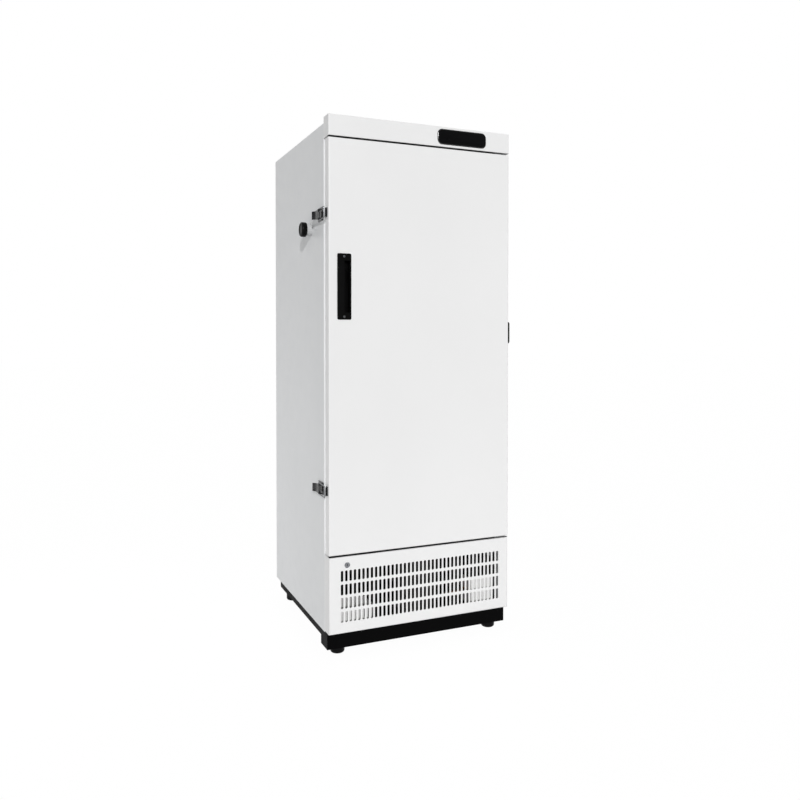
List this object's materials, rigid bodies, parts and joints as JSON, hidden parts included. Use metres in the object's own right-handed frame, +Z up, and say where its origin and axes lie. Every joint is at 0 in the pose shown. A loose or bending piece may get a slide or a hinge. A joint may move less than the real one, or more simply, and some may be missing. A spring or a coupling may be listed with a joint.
{
  "type": "laboratory freezer",
  "caption": "Upright laboratory freezer with an insulated hinged door, evaporator shelves, a side port, draw latches and a hinged slotted grille over its machine compartment.",
  "frame": {"origin": "on the floor, under the middle of the whole object", "axes": "+Z up, front faces -Y, +X to the right as seen from the front"},
  "size_m": [0.782, 0.715, 1.846],
  "materials": {
    "white_paint": "satin",
    "black_paint": "satin",
    "galvanised": "satin",
    "liner_white": "satin",
    "foam": "matte",
    "white_plastic": "satin",
    "pale_plastic": "satin",
    "black_plastic": "satin",
    "black_gloss": "gloss",
    "white_rubber": "matte",
    "black_rubber": "matte",
    "chrome": "polished",
    "latch_steel": "satin",
    "hinge_steel": "satin",
    "aluminium_tube": "satin",
    "copper": "satin",
    "board_green": "satin"
  },
  "bodies": {
    "cabinet": {"left_side_panel": "white_paint", "right_side_panel": "white_paint", "top_panel": "white_paint", "front_frame": "white_paint", "insulation": "foam", "inner_liner": "liner_white", "shelf_standards": "aluminium_tube", "suction_riser": "copper", "header_fascia": "white_paint", "display_bezel": "black_plastic", "display_window": "black_gloss", "control_board": "board_green", "back_panel": "galvanised", "rear_service_grille": "galvanised", "power_inlet": "black_plastic", "base_frame": "black_paint", "machine_tray": "galvanised", "compressor": "black_paint", "compressor_grommets": "black_rubber", "condenser": "black_paint", "fan_shroud": "galvanised", "fan_motor": "black_paint", "drier_filter": "copper", "refrigerant_pipes": "copper", "drain_pan": "pale_plastic", "electrical_box": "pale_plastic", "upper_hinge": "hinge_steel", "lower_hinge": "hinge_steel", "port_collar": "white_plastic", "terminal_box": "black_plastic", "upper_latch_base": "latch_steel", "lower_latch_base": "latch_steel", "cabinet_screws": "hinge_steel", "evaporator_shelf_1": "aluminium_tube", "evaporator_shelf_2": "aluminium_tube", "evaporator_shelf_3": "aluminium_tube", "evaporator_shelf_4": "aluminium_tube", "evaporator_shelf_5": "aluminium_tube"},
    "door": {"door_shell": "white_paint", "door_foam": "foam", "door_liner": "white_plastic", "door_gasket": "white_rubber", "door_handle": "black_plastic", "handle_screws": "hinge_steel", "hinge_bushes": "black_plastic", "upper_latch_keeper": "latch_steel", "lower_latch_keeper": "latch_steel"},
    "grille": {"grille_panel": "white_paint", "lock_housing": "chrome"},
    "lock": {"lock_cylinder": "chrome"},
    "stopper": {"port_stopper": "black_rubber"},
    "upper_lever": {"upper_latch_lever": "latch_steel"},
    "upper_bail": {"upper_latch_bail": "latch_steel"},
    "lower_lever": {"lower_latch_lever": "latch_steel"},
    "lower_bail": {"lower_latch_bail": "latch_steel"},
    "fan": {"fan_blades": "black_plastic"},
    "foot_front_left": {"foot_front_left": "black_rubber"},
    "foot_front_right": {"foot_front_right": "black_rubber"},
    "foot_rear_left": {"foot_rear_left": "black_rubber"},
    "foot_rear_right": {"foot_rear_right": "black_rubber"}
  },
  "joints": [
    {"name": "door_hinge", "type": "hinge", "parent": "cabinet", "child": "door", "pos_m": [0.33, -0.3345, 1.0615], "axis": [0, 0, 1], "range_deg": [0, 110]},
    {"name": "grille_hinge", "type": "hinge", "parent": "cabinet", "child": "grille", "pos_m": [0.336, -0.3205, 0.217], "axis": [0, 0, 1], "range_deg": [0, 100]},
    {"name": "lock_turn", "type": "hinge", "parent": "grille", "child": "lock", "pos_m": [-0.286, -0.332, 0.319], "axis": [0, -1, 0], "range_deg": [0, 90]},
    {"name": "stopper_pull", "type": "slide", "parent": "cabinet", "child": "stopper", "axis": [-1, 0, 0], "range_m": [0, 0.06]},
    {"name": "upper_lever_hinge", "type": "hinge", "parent": "cabinet", "child": "upper_lever", "pos_m": [-0.361, -0.2875, 1.518], "axis": [0, 0, 1], "range_deg": [0, 140]},
    {"name": "upper_bail_hinge", "type": "hinge", "parent": "upper_lever", "child": "upper_bail", "pos_m": [-0.36, -0.2715, 1.518], "axis": [0, 0, 1], "range_deg": [-170, 0]},
    {"name": "lower_lever_hinge", "type": "hinge", "parent": "cabinet", "child": "lower_lever", "pos_m": [-0.361, -0.2875, 0.573], "axis": [0, 0, 1], "range_deg": [0, 140]},
    {"name": "lower_bail_hinge", "type": "hinge", "parent": "lower_lever", "child": "lower_bail", "pos_m": [-0.36, -0.2715, 0.573], "axis": [0, 0, 1], "range_deg": [-170, 0]},
    {"name": "fan_spin", "type": "hinge", "parent": "cabinet", "child": "fan", "pos_m": [0.035, -0.205, 0.207], "axis": [0, 1, 0], "continuous": true},
    {"name": "foot_front_left_screw", "type": "hinge", "parent": "cabinet", "child": "foot_front_left", "pos_m": [-0.3, -0.2915, 0.03], "axis": [0, 0, 1], "continuous": true},
    {"name": "foot_front_right_screw", "type": "hinge", "parent": "cabinet", "child": "foot_front_right", "pos_m": [0.3, -0.2915, 0.03], "axis": [0, 0, 1], "continuous": true},
    {"name": "foot_rear_left_screw", "type": "hinge", "parent": "cabinet", "child": "foot_rear_left", "pos_m": [-0.3, 0.2855, 0.03], "axis": [0, 0, 1], "continuous": true},
    {"name": "foot_rear_right_screw", "type": "hinge", "parent": "cabinet", "child": "foot_rear_right", "pos_m": [0.3, 0.2855, 0.03], "axis": [0, 0, 1], "continuous": true}
  ],
  "couplings": [
    {"joint": "upper_bail_hinge", "follows": "upper_lever_hinge", "ratio": -1.2},
    {"joint": "lower_bail_hinge", "follows": "lower_lever_hinge", "ratio": -1.2}
  ]
}
